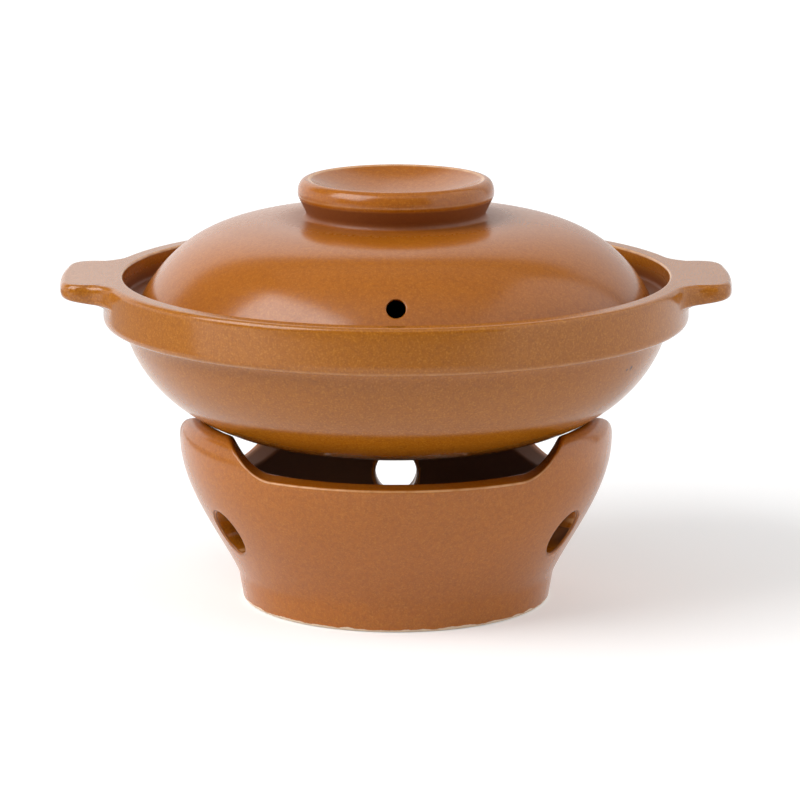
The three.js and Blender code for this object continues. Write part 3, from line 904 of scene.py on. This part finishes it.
def make_cup(material):
    """The fuel cup, from the middle of its underside over its rolled bead to the middle of its floor."""
    radius = CUP_BEAD_RADIUS - CUP_BEAD
    inner = radius - CUP_WALL
    bead_bottom = CUP_TOP - 2 * CUP_BEAD
    bead_start = bead_bottom - CUP_BEAD / 2
    floor = CUP_BOTTOM + CUP_WALL
    corner_top = CUP_BOTTOM + CUP_CORNER
    inner_corner = CUP_CORNER - CUP_WALL
    outline = Outline()
    outline.add([[0, CUP_BOTTOM]])
    outline.line((0, CUP_BOTTOM), (radius - CUP_CORNER, CUP_BOTTOM), FLOOR_ROWS)
    outline.corner((radius - CUP_CORNER, CUP_BOTTOM), (radius, CUP_BOTTOM), (radius, corner_top))
    outline.line((radius, corner_top), (radius, bead_start), CUP_WALL_ROWS)
    outline.corner((radius, bead_start), (radius, bead_bottom), (radius + CUP_BEAD / 2, bead_bottom),
                   SMALL_CORNER_STEPS)
    outline.add(soft_corner((radius + CUP_BEAD / 2, bead_bottom), (CUP_BEAD_RADIUS, bead_bottom),
                            (CUP_BEAD_RADIUS, bead_bottom + CUP_BEAD))[1:])
    outline.add(soft_corner((CUP_BEAD_RADIUS, bead_bottom + CUP_BEAD), (CUP_BEAD_RADIUS, CUP_TOP),
                            (radius, CUP_TOP))[1:])
    outline.corner((inner + CUP_WALL / 2, CUP_TOP), (inner, CUP_TOP), (inner, CUP_TOP - CUP_WALL))
    outline.line((inner, CUP_TOP - CUP_WALL), (inner, corner_top), CUP_INSIDE_ROWS)
    outline.corner((inner, corner_top), (inner, floor), (inner - inner_corner, floor))
    outline.line((inner - inner_corner, floor), (0, floor), FLOOR_ROWS)
    outline.add([[0, floor]])
    return turned("fuel_cup_spun", outline, CUP_COLUMNS, material)


# Materials

def new_material(name):
    """An empty material with its shader, and the Object coordinates that its patterns follow."""
    material = bpy.data.materials.new(name)
    material.use_nodes = True
    tree = material.node_tree
    tree.nodes.clear()
    shader = tree.nodes.new("ShaderNodeBsdfPrincipled")
    add_node(tree, "ShaderNodeOutputMaterial", {"Surface": shader.outputs["BSDF"]})
    place = result(add_node(tree, "ShaderNodeTexCoord"), "Object")
    return material, tree, shader, place


def grain(tree, place, size, detail, roughness):
    """Cloudy noise whose patches are about a given size across."""
    noise = add_node(tree, "ShaderNodeTexNoise", {
        "Vector": place, "Scale": 1 / size, "Detail": detail, "Roughness": roughness,
    })
    return result(noise, "Fac")


def ramp(tree, value, low, high, to_low=0.0, to_high=1.0):
    """Spreads a stretch of values over another, with smooth ends."""
    spread = add_node(tree, "ShaderNodeMapRange", {
        "Value": value, "From Min": low, "From Max": high, "To Min": to_low, "To Max": to_high,
    }, interpolation_type="SMOOTHSTEP")
    return result(spread, "Result")


def mixed(tree, share, one, other, kind="RGBA"):
    """One colour or value turning into another."""
    mix = add_node(tree, "ShaderNodeMix", {"Factor": share, "A": one, "B": other}, data_type=kind)
    return result(mix)


def product(tree, one, other):
    return result(add_node(tree, "ShaderNodeMath", {0: one, 1: other}, operation="MULTIPLY"))


def axis_part(tree, place, axis):
    return result(add_node(tree, "ShaderNodeSeparateXYZ", {"Vector": place}), axis)


# Colours
STAND_BODY = (0.430, 0.127, 0.006, 1)
STAND_DEEP = (0.300, 0.077, 0.003, 1)
POT_BODY = (0.386, 0.124, 0.006, 1)
POT_DEEP = (0.270, 0.076, 0.003, 1)
LID_BODY = (0.398, 0.118, 0.006, 1)
LID_DEEP = (0.278, 0.071, 0.003, 1)
GOLD_SPECK = (0.580, 0.235, 0.025, 1)
DARK_SPECK = (0.170, 0.045, 0.003, 1)
# Pale glaze where it runs thin over an edge, which also serves as a painted highlight there
THIN_GLAZE_AND_HIGHLIGHT = (0.720, 0.400, 0.180, 1)
# Dark glaze where it pools, which also serves as painted shade in the hollows
POOLED_GLAZE_AND_SHADE = (0.150, 0.030, 0.002, 1)
# Painted shade: the dark brown of the stand's inside and its rear scoops
SHADE_PAINT = (0.060, 0.018, 0.004, 1)
IRON_SPOT = (0.045, 0.018, 0.006, 1)
BARE_CLAY = (0.800, 0.640, 0.470, 1)
STEEL = (0.56, 0.56, 0.57, 1)
STAINED_STEEL = (0.36, 0.33, 0.30, 1)
BLACK = (0, 0, 0, 1)
WHITE = (1, 1, 1, 1)

# Iron spots: their place and size
POT_SPOTS = ((0.09289, -0.05515, 0.10625, 1.1 * MM), (0.09108, -0.05782, 0.10592, 0.7 * MM))
LID_SPOTS = ((0.0459, 0.00534, 0.15719, 0.6 * MM),)

# Patterns: the size of a patch, detail, roughness, and the values at which it starts and is full
PATTERNS = {
    "clouds": (26 * MM, 3.0, 0.5, 0.35, 0.68),
    "mottle": (1.8 * MM, 3.0, 0.6, 0.36, 0.66),
    "golden": (0.7 * MM, 2.0, 0.5, 0.50, 0.68),
    "dark": (0.8 * MM, 2.0, 0.6, 0.47, 0.32),
    "patchy": (5 * MM, 3.0, 0.5, 0.25, 0.70),
    "ragged": (6 * MM, 4.0, 0.5, 0.2, 0.8),
    "stain": (9 * MM, 4.0, 0.5, 0.45, 0.75),
}
PEEL_GRAIN = (3.2 * MM, 2.0, 0.5)
RING_GRAIN = (0.5 * MM, 3.0, 0.7)

# How much each pattern or mark shows
MOTTLE_SHARE = 0.45
CLOUD_SHARE = 0.15
DARK_SHARE = 0.8
PATCHY_SHARES = (0.40, 0.90)
POOL_SHADE_SHARE = 0.75
POOLED_MATT = 0.6
SPOT_SHARE = 0.8
SHADE_PAINT_SHARE = 0.9
STAIN_SHARE = 0.4
STAND_SPECKLE = 0.30
POT_SPECKLE = 0.40
LID_SPECKLE = 0.26

# Where marks start and are full, for an iron spot in shares of its size
THIN_HIGHLIGHT_RANGE = (0.35, 1.0)
POOL_SHADE_RANGE = (0.0, -1.0)
SPOT_RANGE = (1.3, 0.5)
CLAY_LINE = 1.3 * MM
CLAY_LINE_BLUR = 0.25 * MM
CLAY_WANDER = 0.5 * MM

# Roughness and relief
STAND_GLOSS = 0.17
POT_GLOSS = 0.16
LID_GLOSS = 0.19
GLOSS_SPREAD = 0.04
MATT_ROUGHNESS = 0.75
CLAY_ROUGHNESS = 0.85
RING_RANGE = (0.3, 0.7)
RING_ROUGHNESS = (0.24, 0.42)
PEEL_STRENGTH = 0.25
PEEL_DEPTH = 0.06 * MM
RING_STRENGTH = 0.3
RING_DEPTH = 0.03 * MM
GLAZE_IOR = 1.5


def pattern(tree, place, name, to_low=0.0, to_high=1.0):
    """One of the patterns, spread between two values."""
    *cloudy, low, high = PATTERNS[name]
    return ramp(tree, grain(tree, place, *cloudy), low, high, to_low, to_high)


def mark(tree, name):
    """A mark that the outline left on the mesh."""
    return result(add_node(tree, "ShaderNodeAttribute", attribute_name=name), "Fac")


def dress(tree, shader, colour, rough, relief, strength, depth):
    """Gives a shader its colour, its roughness and a fine relief."""
    bump = add_node(tree, "ShaderNodeBump", {"Strength": strength, "Distance": depth, "Height": relief})
    tree.links.new(colour, shader.inputs["Base Color"])
    tree.links.new(rough, shader.inputs["Roughness"])
    tree.links.new(result(bump), shader.inputs["Normal"])


def caramel_glaze(name, body, deep, speckle, gloss, spots=()):
    """Iron glaze on stoneware: mottled caramel with golden and dark specks and a few iron spots. It is pale
    where it runs thin over an edge, which also paints a highlight there, dark and dull where it pools, which
    also paints shade there, darkened with painted shade inside the stand, and wiped off the foot, where the
    clay is bare."""
    material, tree, shader, place = new_material(name)
    mottle = pattern(tree, place, "mottle")
    colour = mixed(tree, product(tree, mottle, MOTTLE_SHARE), body, deep)
    for kind, share, hue in (
        ("clouds", CLOUD_SHARE, deep),
        ("golden", speckle, GOLD_SPECK),
        ("dark", DARK_SHARE * speckle, DARK_SPECK),
    ):
        colour = mixed(tree, product(tree, pattern(tree, place, kind), share), colour, hue)

    break_and_light = mark(tree, "glaze_break")
    # Pale thin glaze on edges, which also paints a highlight there
    thin_and_highlit = ramp(tree, break_and_light, *THIN_HIGHLIGHT_RANGE)
    patchy = pattern(tree, place, "patchy", *PATCHY_SHARES)
    colour = mixed(tree, product(tree, thin_and_highlit, patchy), colour, THIN_GLAZE_AND_HIGHLIGHT)
    # Dark pooled glaze in hollows, which also paints shade there
    pooled_and_shaded = ramp(tree, break_and_light, *POOL_SHADE_RANGE)
    colour = mixed(tree, product(tree, pooled_and_shaded, POOL_SHADE_SHARE), colour, POOLED_GLAZE_AND_SHADE)
    for *centre, size in spots:
        reach = add_node(tree, "ShaderNodeVectorMath", {0: place, 1: centre}, operation="DISTANCE")
        inside = ramp(tree, result(reach, "Value"), SPOT_RANGE[0] * size, SPOT_RANGE[1] * size)
        colour = mixed(tree, product(tree, inside, SPOT_SHARE), colour, IRON_SPOT)
    # Painted shade inside the stand and on its rear scoops
    soot = mark(tree, "soot")
    colour = mixed(tree, product(tree, soot, SHADE_PAINT_SHARE), colour, SHADE_PAINT)

    ragged = pattern(tree, place, "ragged", -CLAY_WANDER, CLAY_WANDER)
    line = add_node(tree, "ShaderNodeMath", {0: axis_part(tree, place, "Z"), 1: ragged}, operation="ADD")
    bare = ramp(tree, result(line), CLAY_LINE, CLAY_LINE - CLAY_LINE_BLUR)
    colour = mixed(tree, bare, colour, BARE_CLAY)

    sheen = ramp(tree, mottle, 0.0, 1.0, gloss, gloss + GLOSS_SPREAD)
    matt = add_node(tree, "ShaderNodeMath", {0: soot, 1: product(tree, pooled_and_shaded, POOLED_MATT)},
                    operation="MAXIMUM")
    rough = mixed(tree, result(matt), sheen, MATT_ROUGHNESS, "FLOAT")
    rough = mixed(tree, bare, rough, CLAY_ROUGHNESS, "FLOAT")
    dress(tree, shader, colour, rough, grain(tree, place, *PEEL_GRAIN), PEEL_STRENGTH, PEEL_DEPTH)
    shader.inputs["IOR"].default_value = GLAZE_IOR
    return material


def spun_steel(name):
    """Thin steel with the fine rings that spinning leaves."""
    material, tree, shader, place = new_material(name)
    flat = add_node(tree, "ShaderNodeVectorMath", {0: place, 1: (1, 1, 0)}, operation="MULTIPLY")
    radius = result(add_node(tree, "ShaderNodeVectorMath", {0: result(flat)}, operation="LENGTH"), "Value")
    along = add_node(tree, "ShaderNodeCombineXYZ", {"X": radius, "Y": axis_part(tree, place, "Z")})
    rings = grain(tree, result(along), *RING_GRAIN)
    stain = pattern(tree, place, "stain")
    colour = mixed(tree, product(tree, stain, STAIN_SHARE), STEEL, STAINED_STEEL)
    rough = ramp(tree, rings, *RING_RANGE, *RING_ROUGHNESS)
    dress(tree, shader, colour, rough, rings, RING_STRENGTH, RING_DEPTH)
    shader.inputs["Metallic"].default_value = 1.0
    return material


# The pieces

turned_form = turned_form_tree()
pierced_wall = pierced_wall_tree()

stand = make_stand(caramel_glaze("stand_glaze_fired", STAND_BODY, STAND_DEEP, STAND_SPECKLE, STAND_GLOSS))
pot = make_pot(caramel_glaze("pot_glaze_fired", POT_BODY, POT_DEEP, POT_SPECKLE, POT_GLOSS, POT_SPOTS))
lid = make_lid(caramel_glaze("lid_glaze_fired", LID_BODY, LID_DEEP, LID_SPECKLE, LID_GLOSS, LID_SPOTS))
cup = make_cup(spun_steel("cup_steel_spun"))

for piece, body, node, slot in (
    (stand, "stand", "burner_stand", "stand_glaze"),
    (pot, "pot", "pot_body", "pot_glaze"),
    (lid, "lid", "lid", "lid_glaze"),
    (cup, "fuel_cup", "fuel_cup", "cup_steel"),
):
    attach(piece, body)
    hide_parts(node)


# Studio

FLOOR_SIZE = 14.0
FLOOR_DROP = 0.1 * MM
FLOOR_GLOW = 0.25
FLOOR_FAR_GLOW = 0.48
FLOOR_NEAR = 0.4
FLOOR_FAR = 1.5
FLOOR_WHITE = (0.85, 0.85, 0.85, 1)
ROOM_GLOW = 0.20
KEY_TURN = math.radians(-64)
KEY_CLIMB = math.radians(42)
KEY_DISTANCE = 1.7
KEY_WIDTH = 1.3
KEY_HEIGHT = 1.2
KEY_POWER = 26.5
MAT_SHADE = (0.20, 0.20, 0.20, 1)
MAT_LIFT = 0.5 * MM
CARD_ROUGHNESS = 0.9
TOP_CARD_X = (-1.1, 1.2)
TOP_CARD_Y = (-1.9, 1.2)
TOP_CARD_HEIGHT = 2.2
TOP_CARD_FADE = (-1.3, 0.2)
TOP_CARD_GLOWS = (0.90, 0.40)

# Dark mats: reach in X and in Y, and glow
MATS = {
    "front_mat": ((-0.9, 0.6), (-3.0, -0.62), 0.0),
    "left_mat": ((-1.8, -0.42), (-0.15, 0.9), 0.2),
}

# Upright cards: start and end on the floor, height at each, and glow at the floor and at the top
UPRIGHT_CARDS = {
    "left_card": ((-1.9, -0.6), (-1.9, 1.7), (0.9, 0.9), (1.05, 1.05)),
    "back_left_sweep": ((-3.0, 2.6), (-0.5, 2.6), (1.7, 2.9), (1.15, 1.30)),
    "back_sweep": ((-0.5, 2.6), (0.15, 2.6), (2.9, 3.0), (1.00, 1.20)),
    "back_right_sweep": ((0.15, 2.6), (2.7, 2.6), (3.0, 2.6), (0.82, 0.88)),
    "right_card": ((1.6, 1.25), (1.6, -1.8), (3.3, 3.3), (1.22, 1.22)),
}


def flat_card(name, corners, colour, glow=0.0, seen=False):
    """A flat four-cornered card of the studio, matt and with a glow of its own, and the parts of its
    material."""
    mesh = bpy.data.meshes.new(name)
    mesh.from_pydata(corners, [], [(0, 1, 2, 3)])
    card = bpy.data.objects.new(name, mesh)
    card.visible_camera = seen
    bpy.context.scene.collection.objects.link(card)
    material, tree, shader, place = new_material(name)
    shader.inputs["Base Color"].default_value = colour
    shader.inputs["Roughness"].default_value = CARD_ROUGHNESS
    shader.inputs["Specular IOR Level"].default_value = 0.0
    shader.inputs["Emission Color"].default_value = WHITE
    shader.inputs["Emission Strength"].default_value = glow
    mesh.materials.append(material)
    return card, tree, shader, place


def level_card(name, across, along, height, colour, glow=0.0, seen=False):
    """A card that lies level, from one X and Y to another."""
    corners = [(across[x], along[y], height) for x, y in ((0, 0), (1, 0), (1, 1), (0, 1))]
    return flat_card(name, corners, colour, glow, seen)


def make_floor():
    """A white floor. What its colour lacks of white is a glow that only the camera and mirrored or refracted
    rays see, so it is white behind the pot with no more light on the pot."""
    reach = (-FLOOR_SIZE / 2, FLOOR_SIZE / 2)
    _, tree, shader, place = level_card("floor", reach, reach, -FLOOR_DROP, FLOOR_WHITE, seen=True)
    away = add_node(tree, "ShaderNodeVectorMath", {0: place}, operation="LENGTH")
    glow = ramp(tree, result(away, "Value"), FLOOR_NEAR, FLOOR_FAR, FLOOR_GLOW, FLOOR_FAR_GLOW)
    path = add_node(tree, "ShaderNodeLightPath")
    looked_at = result(path, "Is Camera Ray")
    for ray in ("Is Glossy Ray", "Is Transmission Ray"):
        either = add_node(tree, "ShaderNodeMath", {0: looked_at, 1: result(path, ray)}, operation="MAXIMUM")
        looked_at = result(either)
    tree.links.new(product(tree, glow, looked_at), shader.inputs["Emission Strength"])


def make_studio():
    """The floor, the dark mats that only show mirrored in the glaze, and the glowing cards that the camera
    looks through."""
    make_floor()
    for name, (across, along, glow) in MATS.items():
        mat, *_ = level_card(name, across, along, MAT_LIFT, MAT_SHADE, glow)
        mat.visible_diffuse = False
        mat.visible_shadow = False

    _, tree, shader, place = level_card("top_card", TOP_CARD_X, TOP_CARD_Y, TOP_CARD_HEIGHT, BLACK)
    glow = ramp(tree, axis_part(tree, place, "Y"), *TOP_CARD_FADE, *TOP_CARD_GLOWS)
    tree.links.new(glow, shader.inputs["Emission Strength"])

    for name, (start, end, heights, glows) in UPRIGHT_CARDS.items():
        corners = [(*start, 0), (*end, 0), (*end, heights[1]), (*start, heights[0])]
        _, tree, shader, place = flat_card(name, corners, BLACK)
        glow = ramp(tree, axis_part(tree, place, "Z"), 0.0, max(heights), *glows)
        tree.links.new(glow, shader.inputs["Emission Strength"])


def make_world():
    world = bpy.data.worlds.new("dim_room")
    world.use_nodes = True
    background = world.node_tree.nodes["Background"]
    background.inputs["Color"].default_value = WHITE
    background.inputs["Strength"].default_value = ROOM_GLOW
    bpy.context.scene.world = world


def make_key():
    """The big softbox at the upper left, turned to face the pot."""
    data = bpy.data.lights.new("key_softbox", "AREA")
    data.shape = "RECTANGLE"
    data.size = KEY_WIDTH
    data.size_y = KEY_HEIGHT
    data.energy = KEY_POWER
    lamp = bpy.data.objects.new("key_softbox", data)
    level = KEY_DISTANCE * math.cos(KEY_CLIMB)
    lift = KEY_DISTANCE * math.sin(KEY_CLIMB)
    lamp.location = (level * math.sin(KEY_TURN), -level * math.cos(KEY_TURN), lift + CAMERA_AIM_HEIGHT)
    lamp.rotation_euler = (math.pi / 2 - KEY_CLIMB, 0, KEY_TURN)
    bpy.context.scene.collection.objects.link(lamp)


# Camera, as the photograph was taken

CAMERA_DISTANCE = 1.65576
CAMERA_ELEVATION = math.radians(12.19)
CAMERA_AIM_HEIGHT = 81.33 * MM
PHOTO_WIDTH = 800

# A length at the pot's axis, and the pixels that it spans in the photograph
SCALE_LENGTH = 0.24
SCALE_PIXELS = 586

# Where the axis is in the photograph, and the sensor's width in millimetres
AXIS_PIXEL = 396
SENSOR_WIDTH = 36


def make_camera():
    data = bpy.data.cameras.new("photo_camera")
    data.sensor_width = SENSOR_WIDTH
    data.lens = CAMERA_DISTANCE / (SCALE_LENGTH / SCALE_PIXELS) * SENSOR_WIDTH / PHOTO_WIDTH
    data.shift_x = (PHOTO_WIDTH / 2 - AXIS_PIXEL) / PHOTO_WIDTH
    camera = bpy.data.objects.new("photo_camera", data)
    back = CAMERA_DISTANCE * math.cos(CAMERA_ELEVATION)
    up = CAMERA_DISTANCE * math.sin(CAMERA_ELEVATION)
    camera.location = (0, -back, CAMERA_AIM_HEIGHT + up)
    camera.rotation_euler = (math.pi / 2 - CAMERA_ELEVATION, 0, 0)
    bpy.context.scene.collection.objects.link(camera)
    bpy.context.scene.camera = camera


make_studio()
make_world()
make_key()
make_camera()
bpy.context.scene.view_settings.view_transform = "Standard"
